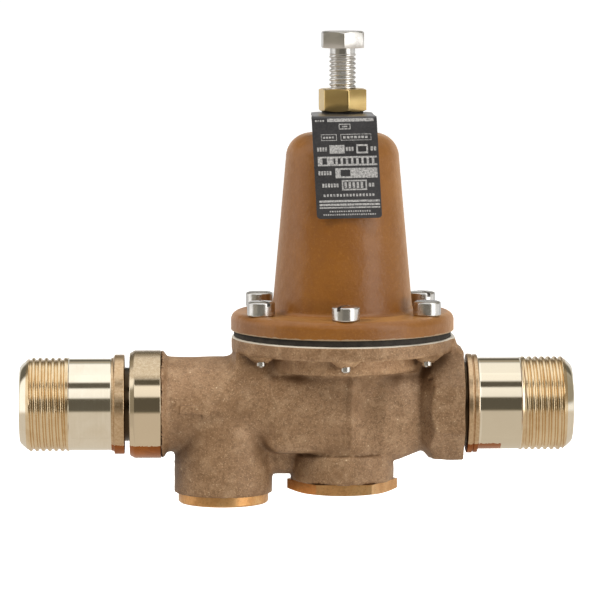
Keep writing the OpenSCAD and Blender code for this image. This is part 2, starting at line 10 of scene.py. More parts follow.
import bmesh
import bpy
import numpy as np
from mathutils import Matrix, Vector


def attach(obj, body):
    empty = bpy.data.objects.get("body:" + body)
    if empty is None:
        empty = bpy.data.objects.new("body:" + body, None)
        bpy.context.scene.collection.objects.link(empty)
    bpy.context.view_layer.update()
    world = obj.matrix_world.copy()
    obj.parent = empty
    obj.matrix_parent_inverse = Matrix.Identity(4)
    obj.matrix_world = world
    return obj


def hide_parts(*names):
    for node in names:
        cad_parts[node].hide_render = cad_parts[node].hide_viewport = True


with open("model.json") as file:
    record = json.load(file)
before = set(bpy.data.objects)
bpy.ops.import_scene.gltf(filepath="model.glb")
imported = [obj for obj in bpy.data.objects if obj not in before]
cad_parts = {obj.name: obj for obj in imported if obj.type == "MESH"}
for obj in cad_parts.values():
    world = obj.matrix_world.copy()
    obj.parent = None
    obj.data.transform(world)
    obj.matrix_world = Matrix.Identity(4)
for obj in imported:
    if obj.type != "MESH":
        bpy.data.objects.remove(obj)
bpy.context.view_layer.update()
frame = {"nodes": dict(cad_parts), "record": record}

MM = 0.001
TAU = 2 * math.pi

# Places and sizes that the CAD sets
VALVE_X = 112.0
STRAINER_X = 70.6
END_X = 191.8
STRAINER_DEPTH = 30.7
CENTRE_DEPTH = 26.3
PASSAGE_Z = -17.5
FLANGE_TOP = 24.0
CAGE_FLANGE_TOP = 32.5
TAB_Z = 100.6
NUT_Z = 101.9
HEAD_Z = 123.7
SCREW_R = 32.9
# Directions of the six cage screws from the valve's axis, the first one facing -Y
SCREW_TURNS = [i * TAU / 6 - TAU / 4 for i in range(6)]
# Ends of the casting: inside the union nut, and at the octagonal boss
SPIGOT_X = 44.2
BOSS_X = 153.8


# -------------------- meshes

def add_piece(name, verts, faces, look, sharp=35.0):
    """Object from millimetre points and faces, smooth apart from edges sharper than the angle."""
    mesh = bpy.data.meshes.new(name)
    verts = np.asarray(verts, dtype=np.float64) * MM
    mesh.vertices.add(len(verts))
    mesh.vertices.foreach_set("co", verts.ravel())
    sizes = np.array([len(f) for f in faces], dtype=np.int32)
    corners = np.concatenate([np.asarray(f, dtype=np.int32) for f in faces])
    mesh.loops.add(len(corners))
    mesh.loops.foreach_set("vertex_index", corners)
    mesh.polygons.add(len(sizes))
    mesh.polygons.foreach_set("loop_start", np.concatenate([[0], np.cumsum(sizes)[:-1]]))
    mesh.update(calc_edges=True)
    mesh.validate()
    mesh.polygons.foreach_set("use_smooth", np.ones(len(mesh.polygons), dtype=bool))
    mesh.set_sharp_from_angle(angle=math.radians(sharp))
    mesh.update()
    obj = bpy.data.objects.new(name, mesh)
    bpy.context.scene.collection.objects.link(obj)
    mesh.materials.append(look)
    return obj


# Faces of a box whose corners run anticlockwise round its far end, then round its near end
BOX_FACES = ((3, 2, 1, 0), (4, 5, 6, 7), (0, 1, 5, 4), (1, 2, 6, 5), (2, 3, 7, 6), (3, 0, 4, 7))


def grid_faces(rows, columns, closed_rows):
    """Quads between the rings of a grid whose columns wrap, and whose rows wrap if closed."""
    last = rows if closed_rows else rows - 1
    i, j = np.meshgrid(np.arange(last), np.arange(columns), indexing="ij")
    i, j = i.ravel(), j.ravel()
    i2, j2 = (i + 1) % rows, (j + 1) % columns
    return np.stack([i * columns + j, i * columns + j2, i2 * columns + j2, i2 * columns + j], 1)


def soften(points, radius, steps=4, keep_ends=True):
    """Rounds the corners of an outline of (along, radius) points. A third value in a point is its
    own rounding. Guard points beside each arc keep the flats flat when they are shaded."""
    points = [tuple(p) + ((radius,) if len(p) == 2 else ()) for p in points]
    out = []
    n = len(points)
    for k, (x, r, size) in enumerate(points):
        if keep_ends and k in (0, n - 1):
            out.append((x, r))
            continue
        here = np.array([x, r])
        a = np.array(points[k - 1][:2]) - here
        b = np.array(points[(k + 1) % n][:2]) - here
        la, lb = np.hypot(*a), np.hypot(*b)
        size = min(size, la * 0.42, lb * 0.42)
        if size <= 0 or la < 1e-6 or lb < 1e-6:
            out.append((x, r))
            continue
        a, b = a / la, b / lb
        out.append(tuple(here + a * size * 1.12))
        for t in np.linspace(0, 1, steps + 1):
            q = here + a * size * (1 - t) ** 2 + b * size * t ** 2
            out.append(tuple(q))
        out.append(tuple(here + b * size * 1.12))
    return out


def lathe(name, profile, look, axis="x", centre=(0, 0), sides=128, sharp=35.0, shape=None):
    """Turned piece. The profile is a closed loop of (along, radius), or runs from axis to axis.
    shape(along, angle, radius) may move its points one by one."""
    along = np.array([p[0] for p in profile])
    radius = np.array([p[1] for p in profile])
    capped = radius[0] < 1e-6
    if capped:
        tips = (along[0], along[-1])
        along, radius = along[1:-1], radius[1:-1]
    rows = len(along)
    angle = np.arange(sides) / sides * TAU
    a = np.repeat(along[:, None], sides, 1)
    r = np.repeat(radius[:, None], sides, 1)
    th = np.repeat(angle[None], rows, 0)
    if shape is not None:
        a, r = shape(a, th, r)
    if axis == "x":
        verts = np.stack([a, centre[0] + r * np.cos(th), centre[1] + r * np.sin(th)], -1)
    else:
        verts = np.stack([centre[0] + r * np.cos(th), centre[1] + r * np.sin(th), a], -1)
    verts = verts.reshape(-1, 3)
    faces = grid_faces(rows, sides, not capped)
    if capped:
        ends = [(tips[0], centre[0], centre[1]), (tips[1], centre[0], centre[1])]
        if axis != "x":
            ends = [(c[1], c[2], c[0]) for c in ends]
        verts = np.vstack([verts, ends])
        first, last = rows * sides, rows * sides + 1
        j = np.arange(sides)
        j2 = (j + 1) % sides
        base = (rows - 1) * sides
        low = [(first, b, a_) for a_, b in zip(j, j2)]
        high = [(last, base + a_, base + b) for a_, b in zip(j, j2)]
        faces = list(map(tuple, faces)) + low + high
    obj = add_piece(name, verts, list(faces), look, sharp)
    outward(obj)
    return obj


def outward(obj):
    """Turns a closed mesh's faces outwards."""
    work = bmesh.new()
    work.from_mesh(obj.data)
    bmesh.ops.recalc_face_normals(work, faces=work.faces)
    work.to_mesh(obj.data)
    work.free()
    obj.data.update()


def wave_thread(along, angle, radius, start, end, pitch, depth, fade=1.6, crest=0.16):
    """Right-handed thread with rounded crests, cut into a radius between two stations."""
    turn = along / pitch - angle / TAU
    saw = np.abs(2 * (turn - np.floor(turn)) - 1)
    cut = np.clip((saw - crest) / (0.88 - crest), 0, 1)
    cut = cut * cut * (3 - 2 * cut)
    run = np.clip(np.minimum(along - start, end - along) / fade, 0, 1)
    return radius - depth * cut * run


# -------------------- shader nodes

class Graph:
    """Short ways to build a tree of shader nodes. A value may be a constant or a socket."""

    def __init__(self, tree):
        self.tree = tree

    def link(self, value, socket):
        if isinstance(value, bpy.types.NodeSocket):
            self.tree.links.new(value, socket)
        else:
            socket.default_value = value

    def node(self, kind, inputs, **settings):
        """New node with its settings, and values for inputs given by name or number."""
        node = self.tree.nodes.new("ShaderNode" + kind)
        for key, setting in settings.items():
            setattr(node, key, setting)
        for key, value in inputs.items():
            self.link(value, node.inputs[key])
        return node

    def math(self, op, *values):
        return self.node("Math", dict(enumerate(values)), operation=op).outputs[0]

    def add(self, a, b):
        return self.math("ADD", a, b)

    def times(self, a, b):
        return self.math("MULTIPLY", a, b)

    def linear(self, value, slope, base):
        return self.math("MULTIPLY_ADD", value, slope, base)

    def mix(self, amount, a, b, mode="MIX"):
        a, b = [v + (1.0,) if isinstance(v, tuple) else v for v in (a, b)]
        return self.node("Mix", {0: amount, 6: a, 7: b}, data_type="RGBA",
                         blend_type=mode).outputs[2]


class Look(Graph):
    """One procedural material, laid out in mm in its object's space. Keywords set plain values of
    the shader."""

    def __init__(self, name, **values):
        self.mat = bpy.data.materials.new(name)
        self.mat.use_nodes = True
        super().__init__(self.mat.node_tree)
        self.bsdf = self.tree.nodes["Principled BSDF"]
        self.place = self.node("TexCoord", {}).outputs["Object"]
        self.place = self.scaled(1 / MM, 1 / MM, 1 / MM)
        for key, value in values.items():
            self.set(key.replace("_", " "), value)

    def set(self, name, value):
        self.link(value, self.bsdf.inputs[name])

    def scaled(self, x, y, z):
        return self.node("VectorMath", {0: self.place, 1: (x, y, z)},
                         operation="MULTIPLY").outputs[0]

    def split(self):
        return self.node("SeparateXYZ", {0: self.place}).outputs

    def noise(self, scale, detail=3.0, rough=0.6, distort=0.0, place=None):
        """Cloudy noise. Its scale is per mm, unless it gets a place of its own."""
        inputs = {"Vector": self.place if place is None else place, "Scale": scale,
                  "Detail": detail, "Roughness": rough, "Distortion": distort}
        return self.node("TexNoise", inputs).outputs["Fac"]

    def marks(self, x, y, z):
        """Noise drawn out into lines by a scale, per mm, for each axis."""
        return self.noise(1.0, place=self.scaled(x, y, z))

    def openness(self, reach):
        """1 on open skin, less in corners and recesses narrower than the reach in mm."""
        return self.node("AmbientOcclusion", {"Distance": reach * MM}, samples=8).outputs["AO"]

    def cells(self, per_mm):
        return self.node("TexVoronoi", {"Vector": self.place, "Scale": per_mm}).outputs["Distance"]

    def ramp(self, value, *stops):
        """Maps a value to a grey level or a colour through (position, value) stops."""
        node = self.node("ValToRGB", {0: value})
        elements = node.color_ramp.elements
        while len(elements) < len(stops):
            elements.new(0.5)
        for element, (position, colour) in zip(elements, stops):
            element.position = position
            if not isinstance(colour, tuple):
                colour = (colour, colour, colour)
            element.color = colour + (1.0,)
        return node.outputs[0]

    def step(self, value, low, high):
        """0 at low and 1 at high, smooth between them, and level beyond them."""
        return self.node("MapRange", {0: value, 1: low, 2: high}, clamp=True,
                         interpolation_type="SMOOTHSTEP").outputs[0]

    def finish(self, colour, rough, *layers):
        """Sets the surface, with (height, depth in mm, strength) bump layers one over another."""
        self.set("Base Color", colour)
        self.set("Roughness", rough)
        normal = None
        for height, depth, strength in layers:
            node = self.node("Bump", {"Strength": strength, "Distance": depth * MM,
                                      "Height": height})
            if normal is not None:
                self.link(normal, node.inputs["Normal"])
            normal = node.outputs[0]
        if normal is not None:
            self.set("Normal", normal)
            if self.bsdf.inputs["Coat Weight"].default_value > 0:
                self.set("Coat Normal", normal)
        return self.mat


def casting_look():
    """Sand-cast bronze: brown, coarse-grained, with dark stains and bare bright grains. Its
    recesses carry painted shade, and the drum under the flange carries painted light.
    """
    k = Look("bronze_casting", Metallic=0.25)
    x, _, z = k.split()
    broad = k.noise(0.05)
    grain = k.noise(1.0, 4.0, 0.65)
    fine = k.noise(2.2, 2.0, 0.7)
    specks = k.ramp(k.cells(0.55), (0.0, 1.0), (0.17, 0.0), (1.0, 0.0))
    patches = k.noise(0.22, 4.0, 0.65)
    colour = k.ramp(broad, (0.32, (0.215, 0.124, 0.062)), (0.52, (0.255, 0.151, 0.079)),
                    (0.72, (0.310, 0.190, 0.106)))
    colour = k.mix(k.ramp(grain, (0.38, 0.60), (0.54, 0.0)), colour, (0.120, 0.064, 0.030))
    colour = k.mix(k.ramp(patches, (0.48, 0.0), (0.64, 0.30)), colour, (0.48, 0.33, 0.20))
    colour = k.mix(k.ramp(fine, (0.54, 0.0), (0.72, 0.50)), colour, (0.62, 0.43, 0.26))
    bare = k.times(specks, k.ramp(patches, (0.50, 0.0), (0.62, 0.85)))
    colour = k.mix(bare, colour, (0.92, 0.74, 0.50))
    stain = k.ramp(k.noise(0.075, 4.0, 0.62, 0.6), (0.50, 0.0), (0.72, 0.55))
    colour = k.mix(stain, colour, (0.160, 0.084, 0.038))
    # Painted shade: the colour darkens in corners, creases and recesses, where shade falls
    painted_crease_shade = k.ramp(k.openness(8.0), (0.40, 0.85), (0.84, 0.0))
    colour = k.mix(painted_crease_shade, colour, (0.095, 0.047, 0.020))
    # Painted light: the drum under the flange is made lighter than the rest, against the flange's
    # shade
    drum = k.times(k.step(z, 10.5, 15.0), k.step(z, 20.0, 18.7))
    drum = k.times(drum, k.times(k.step(x, 80, 88), k.step(x, 143, 137)))
    colour = k.mix(drum, colour, (1.62, 1.68, 1.74), "MULTIPLY")
    # The flange's upper face is machined
    machined = k.step(z, FLANGE_TOP - 0.48, FLANGE_TOP - 0.38)
    colour = k.mix(machined, colour, (0.62, 0.57, 0.48))
    rough = k.mix(machined, k.ramp(grain, (0.3, 0.46), (0.7, 0.62)), (0.3, 0.3, 0.3))
    return k.finish(colour, rough, (k.noise(0.16), 0.60, 0.40), (grain, 0.20, 0.50),
                    (fine, 0.08, 0.45))


def nut_brass_look():
    """Yellow brass with fine lines round an upright axis, slight smudges and tarnish."""
    k = Look("yellow_brass", Metallic=1.0)
    dark = (0.52, 0.32, 0.10)
    marks = k.marks(0.09, 0.09, 6)
    smudge = k.noise(0.09, 4.0, distort=0.4)
    colour = k.mix(k.ramp(smudge, (0.42, 0.0), (0.74, 0.35)), (0.84, 0.62, 0.27), dark)
    colour = k.mix(k.ramp(marks, (0.35, 0.0), (0.7, 0.12)), colour, dark)
    rough = k.linear(k.ramp(smudge, (0.35, 0.0), (0.75, 1.0)), 0.08, 0.18)
    rough = k.linear(k.noise(0.7), 0.05, rough)
    return k.finish(colour, rough, (marks, 0.02, 0.2))


def pipe_brass_look():
    """Bright brass of the pipe ends and the union nut. The threads are browner, the rings beside
    the body are dull, the nut is stained at its top and bottom, and the gaps beside the rings are
    painted near-black as shade."""
    k = Look("bright_brass", Metallic=1.0)
    x, _, z = k.split()
    marks = k.marks(6, 0.09, 0.09)
    smudge = k.noise(0.09, 4.0, distort=0.4)
    speckle = k.noise(1.1, 4.0, 0.75)

    def zone(low, high, soft=0.1):
        """1 from low to high along the pipe."""
        return k.times(k.step(x, low - soft, low + soft), k.step(x, high + soft, high - soft))

    threads = k.add(zone(2.4, 16.9), zone(173.8, 189.4))
    rings = k.add(zone(31.8, 37.6), zone(153.5, 159.0))
    # Painted shade: the gaps between the rings, the nut and the body are near-black
    painted_gap_shade = k.add(zone(36.4, 38.0), zone(153.0, 155.0))
    nut, barrel, foot = zone(37.8, 60.0), zone(159.7, 173.6), zone(159.0, 166.8)
    crown = k.times(k.step(z, 9.8, 11.2), nut)
    under = k.math("LESS_THAN", z, k.linear(speckle, 1.8, -13.8))
    under = k.times(under, k.add(k.add(nut, rings), foot))

    brown = k.mix(k.ramp(smudge, (0.40, 0.0), (0.65, 1.0)), (0.80, 0.63, 0.40), (0.66, 0.47, 0.25))
    dull = k.mix(k.ramp(speckle, (0.35, 0.0), (0.70, 1.0)), (0.70, 0.51, 0.31), (0.46, 0.28, 0.13))
    rust = k.mix(k.ramp(smudge, (0.4, 0.0), (0.6, 1.0)), (0.44, 0.140, 0.022), (0.30, 0.088, 0.016))
    stained = k.ramp(speckle, (0.35, 0.35), (0.68, 0.80))
    colour = k.mix(k.ramp(smudge, (0.45, 0.0), (0.74, 0.30)), (0.870, 0.800, 0.660),
                   (0.70, 0.58, 0.40))
    colour = k.mix(k.ramp(marks, (0.35, 0.0), (0.7, 0.12)), colour, (0.55, 0.43, 0.26))
    for part, amount, tone in ((threads, 0.92, brown), (rings, 0.92, dull),
                               (nut, 0.9, (0.72, 0.60, 0.43)), (barrel, 0.85, (0.74, 0.66, 0.51)),
                               (crown, stained, (0.42, 0.30, 0.17)), (under, 1.0, rust),
                               (painted_gap_shade, 1.0, (0.060, 0.040, 0.022))):
        colour = k.mix(k.times(part, amount), colour, tone)
    rough = k.linear(k.ramp(smudge, (0.35, 0.0), (0.75, 1.0)), 0.05, 0.075)
    for part, amount in ((threads, 0.12), (rings, 0.22), (k.times(crown, speckle), 0.30),
                         (under, 0.18)):
        rough = k.linear(part, amount, rough)
    return k.finish(colour, rough, (marks, 0.02, 0.16), (speckle, 0.02, 0.05))


def tarnished_look():
    """Machined bronze of the plugs: orange-brown and uneven."""
    k = Look("plug_bronze", Metallic=0.9)
    broad = k.noise(0.12, 4.0, 0.65, 0.5)
    fine = k.noise(1.4, 3.0, 0.7)
    colour = k.ramp(broad, (0.30, (0.52, 0.250, 0.085)), (0.5, (0.70, 0.38, 0.15)),
                    (0.72, (0.82, 0.52, 0.24)))
    colour = k.mix(k.ramp(fine, (0.5, 0.0), (0.72, 0.5)), colour, (0.32, 0.150, 0.052))
    return k.finish(colour, k.ramp(broad, (0.3, 0.42), (0.7, 0.28)), (fine, 0.03, 0.35))


def paint_look():
    """Thick orange-brown paint over a sand casting, scraped bare along the lower rim."""
    k = Look("cage_paint", Coat_Weight=0.30, Coat_Roughness=0.16, Coat_IOR=1.5,
             Sheen_Weight=0.35, Sheen_Roughness=0.45, Sheen_Tint=(1.0, 0.60, 0.26, 1.0))
    z = k.split()[2]
    broad = k.noise(0.045)
    mottle = k.noise(0.35, 4.0, 0.65)
    fine = k.noise(1.1, 3.0, 0.7)
    colour = k.ramp(broad, (0.30, (0.150, 0.050, 0.003)), (0.52, (0.176, 0.062, 0.0045)),
                    (0.74, (0.206, 0.077, 0.0065)))
    colour = k.mix(k.ramp(mottle, (0.42, 0.0), (0.70, 0.40)), colour, (0.145, 0.049, 0.005))
    colour = k.mix(k.ramp(fine, (0.54, 0.0), (0.74, 0.40)), colour, (0.28, 0.120, 0.022))
    bare = k.math("LESS_THAN", z, k.linear(mottle, 1.4, 25.85))
    colour = k.mix(bare, colour, (0.24, 0.165, 0.095))
    return k.finish(colour, k.ramp(mottle, (0.3, 0.42), (0.7, 0.56)),
                    (k.noise(0.13, 3.0, 0.55), 0.50, 0.50), (mottle, 0.24, 0.60),
                    (fine, 0.10, 0.60))


def steel_look(name, colour, roughness):
    """Bright steel with faint marks round an upright axis."""
    k = Look(name, Metallic=1.0)
    smudge = k.noise(0.25, 4.0)
    tone = k.mix(k.ramp(smudge, (0.42, 0.0), (0.75, 0.5)), colour, tuple(c * 0.5 for c in colour))
    rough = k.linear(smudge, 0.14, roughness - 0.05)
    return k.finish(tone, rough, (k.marks(0.08, 0.08, 4), 0.02, 0.25))


def rubber_look():
    """Black rubber of the diaphragm and the seals, slightly brown."""
    k = Look("black_rubber", Metallic=0.0)
    fine = k.noise(1.6, 3.0, 0.7)
    broad = k.noise(0.3)
    colour = k.ramp(broad, (0.3, (0.012, 0.010, 0.008)), (0.7, (0.030, 0.025, 0.019)))
    return k.finish(colour, k.ramp(fine, (0.3, 0.70), (0.7, 0.90)), (fine, 0.05, 0.4))


def plate_look():
    """Black enamelled sheet, slightly hazy."""
    k = Look("black_plate", Metallic=0.0, Coat_Weight=0.30, Coat_Roughness=0.20)
    haze = k.noise(0.06)
    fine = k.noise(1.8, 3.0, 0.7)
    colour = k.ramp(haze, (0.3, (0.018, 0.018, 0.020)), (0.7, (0.036, 0.036, 0.040)))
    colour = k.mix(k.ramp(fine, (0.45, 0.0), (0.8, 0.5)), colour, (0.065, 0.064, 0.064))
    return k.finish(colour, k.ramp(haze, (0.3, 0.30), (0.7, 0.46)), (fine, 0.02, 0.3))


def print_look():
    """Worn silver print."""
    k = Look("plate_print", Metallic=0.0)
    worn = k.noise(1.6, 4.0, 0.75)
    colour = k.ramp(worn, (0.36, (0.11, 0.11, 0.115)), (0.54, (0.33, 0.33, 0.33)),
                    (0.7, (0.52, 0.52, 0.51)))
    return k.finish(colour, k.ramp(worn, (0.3, 0.55), (0.7, 0.4)))


looks = {
    "bronze_casting": casting_look(),
    "bright_brass": pipe_brass_look(),
    "yellow_brass": nut_brass_look(),
    "plug_bronze": tarnished_look(),
    "cage_paint": paint_look(),
    "stainless": steel_look("stainless", (0.70, 0.68, 0.65), 0.22),
    "spring_steel": steel_look("spring_steel", (0.36, 0.36, 0.38), 0.38),
    "black_rubber": rubber_look(),
    "black_plate": plate_look(),
}
print_ink = print_look()

record = frame["record"]
node_slots = {s["node"]: s["material_slot"] for s in record["subparts"]}
for node, obj in frame["nodes"].items():
    obj.data.materials.clear()
    obj.data.materials.append(looks[node_slots[node]])


# -------------------- body casting

def blend_min(a, b, k):
    """Union of two distances with a fillet; its radius is about 0.85 k."""
    h = np.maximum(k - np.abs(a - b), 0) / k
    return np.minimum(a, b) - h * h * k / 4


def rod(radial, along, low, high, r, edge=0.0):
    """Distance to a cylinder between two heights, with rounded edges."""
    side = radial - r + edge
    end = np.maximum(low + edge - along, along - high + edge)
    corner = np.hypot(np.maximum(side, 0), np.maximum(end, 0))
    return np.minimum(np.maximum(side, end), 0) + corner - edge


def tapered(radial, along, stations, radii, edge=0.0):
    """Distance to a turned shape whose radius runs through the stations."""
    side = (radial - np.interp(along, stations, radii)) * 0.93 + edge
    end = np.maximum(stations[0] + edge - along, along - stations[-1] + edge)
    corner = np.hypot(np.maximum(side, 0), np.maximum(end, 0))
    return np.minimum(np.maximum(side, end), 0) + corner - edge


def box(x, y, z, low, high, edge=0.0):
    """Distance to a box with rounded edges."""
    d = [np.maximum(lo + edge - v, v - hi + edge) for v, lo, hi in zip((x, y, z), low, high)]
    out = np.sqrt(sum(np.maximum(v, 0) ** 2 for v in d))
    return np.minimum(np.maximum(np.maximum(d[0], d[1]), d[2]), 0) + out - edge


def sheet_outline(u, v, points):
    """Distance to a convex outline whose corners run anticlockwise."""
    d = np.full(np.shape(u), -1e9)
    for (u1, v1), (u2, v2) in zip(points, points[1:] + points[:1]):
        n = math.hypot(u2 - u1, v2 - v1)
        d = np.maximum(d, ((u - u1) * (v2 - v1) - (v - v1) * (u2 - u1)) / n)
    return d


def casting_distance(x, y, z):
    """Distance in mm to the body casting's skin, negative inside the metal."""
    pipe = np.hypot(y, z)
    mid = np.hypot(x - VALVE_X, y)
    side = np.hypot(x - STRAINER_X, y)
    low_pipe = np.hypot(y, z - PASSAGE_Z)
    holes = [np.hypot(x - VALVE_X - SCREW_R * math.cos(turn), y - SCREW_R * math.sin(turn))
             for turn in SCREW_TURNS]

    # Inlet neck, full chest over the passages, outlet that narrows towards its boss
    neck = rod(pipe, x, 49.2, 112, 16.5)
    chest = box(x, y, z, (86, -18.0, -15.5), (117.4, 18.0, 12), 4.5)
    oval = np.hypot(y * 1.19, z)
    outlet = tapered(oval, x, (112, 118, 126, 132, 139, 142), (19.5, 20.1, 21, 19.4, 16.6, 15.9))
    web = rod(low_pipe, x, 70.6, 112, 7.0)
    strainer = tapered(side, z, (-STRAINER_DEPTH, -9, -6, -3.8, -1.8),
                       (17.05, 17.05, 16.6, 15.4, 13.2), 0.4)
    waist = tapered(mid, z, (-CENTRE_DEPTH, -16, -4, 14), (16.5, 16.5, 17.4, 21.0), 0.4)
    boss = tapered(mid, z, (-CENTRE_DEPTH, -17.0, -16.4), (17.95, 17.95, 17.2), 0.2)
    d = blend_min(neck, chest, 5)
    d = blend_min(d, outlet, 2.5)
    d = blend_min(d, web, 1.6)
    d = blend_min(d, strainer, 1.3)
    d = blend_min(d, waist, 2.2)
    d = blend_min(d, boss, 0.35)

    # Drum and flange, with the wall that joins them to the neck
    drum = rod(mid, z, 12.8, 20.6, 28, 0.8)
    rim = rod(mid, z, FLANGE_TOP - 5, FLANGE_TOP, 38.5, 0.7)
    saddle = box(x, y, z, (75, -12.5, 0), (113.5, 12.5, 19.5), 2.0)
    d = blend_min(d, saddle, 5.0)
    d = blend_min(d, drum, 2.0)
    d = blend_min(d, rim, 2.0)
    # V-shaped bosses round the screw holes
    for hole in holes:
        lug = tapered(hole, z, (16.2, 20.2), (2.4, 7.0), 0.2)
        d = blend_min(d, np.maximum(lug, mid - 38.3), 0.7)

    # Octagonal boss of the outlet, and the rib above it
    eight = np.maximum(np.maximum(np.abs(y), np.abs(z)), (np.abs(y) + np.abs(z)) / math.sqrt(2))
    octagon = np.maximum(eight - 18.55, -(x - 139.8 - (pipe - 15.9) * 0.95) * 0.72)
    octagon = np.maximum(np.maximum(octagon, x - 153.5), pipe - 20.0) - 0.3
    d = blend_min(d, octagon, 0.9)
    rib = np.maximum(sheet_outline(x - VALVE_X, z, [(20, 8), (41.6, 8), (41.6, 16.4),
                                                    (38.0, FLANGE_TOP - 0.1),
                                                    (20, FLANGE_TOP - 0.1)]),
                     np.abs(y) - 7.7) - 0.3
    d = blend_min(d, rib, 2.2)

    # Collar behind the union nut, and the part inside the nut
    collar = tapered(pipe, x, (49.05, 49.7, 51.3, 52.3), (18.6, 18.6, 16.5, 16.0))
    d = blend_min(d, collar, 0.7)
    d = np.minimum(d, rod(pipe, x, SPIGOT_X, 50, 15.9, 0.3))

    # Low ridges left by the sand mould
    seam = np.exp(-((z + 20.2) / 0.5) ** 2)
    d = d - 0.15 * seam * (side < 19.5) * (y < 0)
    ridge = np.exp(-((x - VALVE_X - 2.7) / 1.6) ** 2) * np.clip((z + 17) / 4, 0, 1)
    d = d - 1.0 * ridge * np.clip((13 - z) / 3, 0, 1) * np.clip((-y - 8) / 6, 0, 1)

    # Flow arrow, raised on the front of the neck
    arrow = np.minimum(
        sheet_outline(x, z, [(63.4, -3.5), (68.4, 0), (63.4, 3.5)]),
        sheet_outline(x, z, [(55.4, -1.6), (63.5, -1.6), (63.5, 1.6), (55.4, 1.6)]))
    arrow = np.maximum(np.maximum(arrow, pipe - 17.4), y)
    d = blend_min(d, arrow, 0.5)

    # The skin of a sand casting isn't quite true
    d = d + 0.12 * np.sin(0.33 * x + 1.3 + 0.8 * np.sin(0.21 * z)) * np.sin(0.29 * y + 0.7) \
        * np.sin(0.36 * z + 2.1)
    d = d + 0.06 * np.sin(0.83 * x + 0.4) * np.sin(0.77 * y + 1.9) * np.sin(0.91 * z + 0.3)
    for cut in (z - FLANGE_TOP, SPIGOT_X - x, x - BOSS_X, -STRAINER_DEPTH - z):
        d = np.maximum(d, cut)

    # Waterways, chambers and holes
    hollow = rod(pipe, x, 40, 78.6, 10.4)
    for low, high, r in ((121.5, 143, 10.4), (142, 160, 14.5)):
        hollow = np.minimum(hollow, rod(pipe, x, low, high, r))
    hollow = np.minimum(hollow, rod(low_pipe, x, 70.6, 112, 5))
    for low, high, r in ((-10, 0, 8.5), (-40, -9, 12.5), (-40, 0.8 - STRAINER_DEPTH, 14.3)):
        hollow = np.minimum(hollow, rod(side, z, low, high, r))
    for low, high, r in ((-40, -12, 13), (-40, 0.8 - CENTRE_DEPTH, 14.8), (-13, -7, 9.05),
                         (-8, 10, 12.5), (9, 17, 4.5), (16, 30, 24.5)):
        hollow = np.minimum(hollow, rod(mid, z, low, high, r))
    for hole in holes:
        hollow = np.minimum(hollow, rod(hole, z, 10, 30, 2.45))
    return np.maximum(d, -hollow)


def skin_of(distance, low, high, step):
    """Closed quad mesh of a distance field's zero surface, one vertex in each mixed cell."""
    axes = [np.arange(lo, hi + step, step) for lo, hi in zip(low, high)]
    grid = np.meshgrid(*axes, indexing="ij")
    d = distance(*grid)
    shape = np.array(d.shape)
    cells = shape - 1
    total = np.zeros((int(np.prod(cells)), 3))
    count = np.zeros(int(np.prod(cells)))
    quads = []
    inside = d < 0
    for axis in range(3):
        others = [a for a in range(3) if a != axis]
        lower = [slice(None)] * 3
        upper = [slice(None)] * 3
        lower[axis], upper[axis] = slice(0, -1), slice(1, None)
        a, b = d[tuple(lower)], d[tuple(upper)]
        flip = inside[tuple(lower)] != inside[tuple(upper)]
        index = np.argwhere(flip)
        va, vb = a[flip], b[flip]
        point = index.astype(float)
        point[:, axis] += va / (va - vb)
        ok = np.all([(index[:, o] > 0) & (index[:, o] < cells[o]) for o in others], axis=0)
        index, point, va = index[ok], point[ok], va[ok]
        around = []
        for du, dv in ((-1, -1), (0, -1), (0, 0), (-1, 0)):
            cell = index.copy()
            cell[:, others[0]] += du
            cell[:, others[1]] += dv
            flat = np.ravel_multi_index(cell.T, cells)
            around.append(flat)
            for c in range(3):
                total[:, c] += np.bincount(flat, point[:, c], len(count))
            count += np.bincount(flat, minlength=len(count))
        quad = np.stack(around, 1)
        back = (va < 0) == (axis == 1)
        quad[back] = quad[back][:, ::-1]
        quads.append(quad)
    quads = np.concatenate(quads)
    used = np.flatnonzero(count)
    renumber = np.full(len(count), -1)
    renumber[used] = np.arange(len(used))
    verts = total[used] / count[used][:, None] * step + np.array([a[0] for a in axes])
    # Two short steps along the slope set the points on the true surface
    for _ in range(2):
        value = distance(*verts.T)
        slope = np.stack([(distance(*(verts + e).T) - distance(*(verts - e).T)) / 0.1
                          for e in np.eye(3) * 0.05], 1)
        size = np.maximum((slope ** 2).sum(1), 0.3)
        move = -(value / size)[:, None] * slope
        reach = np.linalg.norm(move, axis=1)
        verts = verts + move * np.minimum(1, 0.3 / np.maximum(reach, 1e-9))[:, None]
    return verts, renumber[quads]


casting_step = 0.75
verts, quads = skin_of(casting_distance, (43.1, -39.6, -31.6), (154.9, 39.6, 25.0), casting_step)
body = add_piece("body_casting", verts, list(quads), looks["bronze_casting"], sharp=50)
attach(body, "housing")
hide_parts("valve_body")


# -------------------- pipe ends

PIPE_PITCH = 2.209
PIPE_CREST = 16.26
THREAD_DEPTH = 0.72
THREAD_SHIFT = 1.0
THREAD_STEP = 0.115
BARREL_R = 15.95
BORE_R = 10.4
# The threads begin at a chamfer, with this radius at the end face and this length
CHAMFER_R = 13.06
CHAMFER = 3.57
INLET_THREAD = (0.35, 17.0)
OUTLET_THREAD = (173.7, END_X - 0.35)


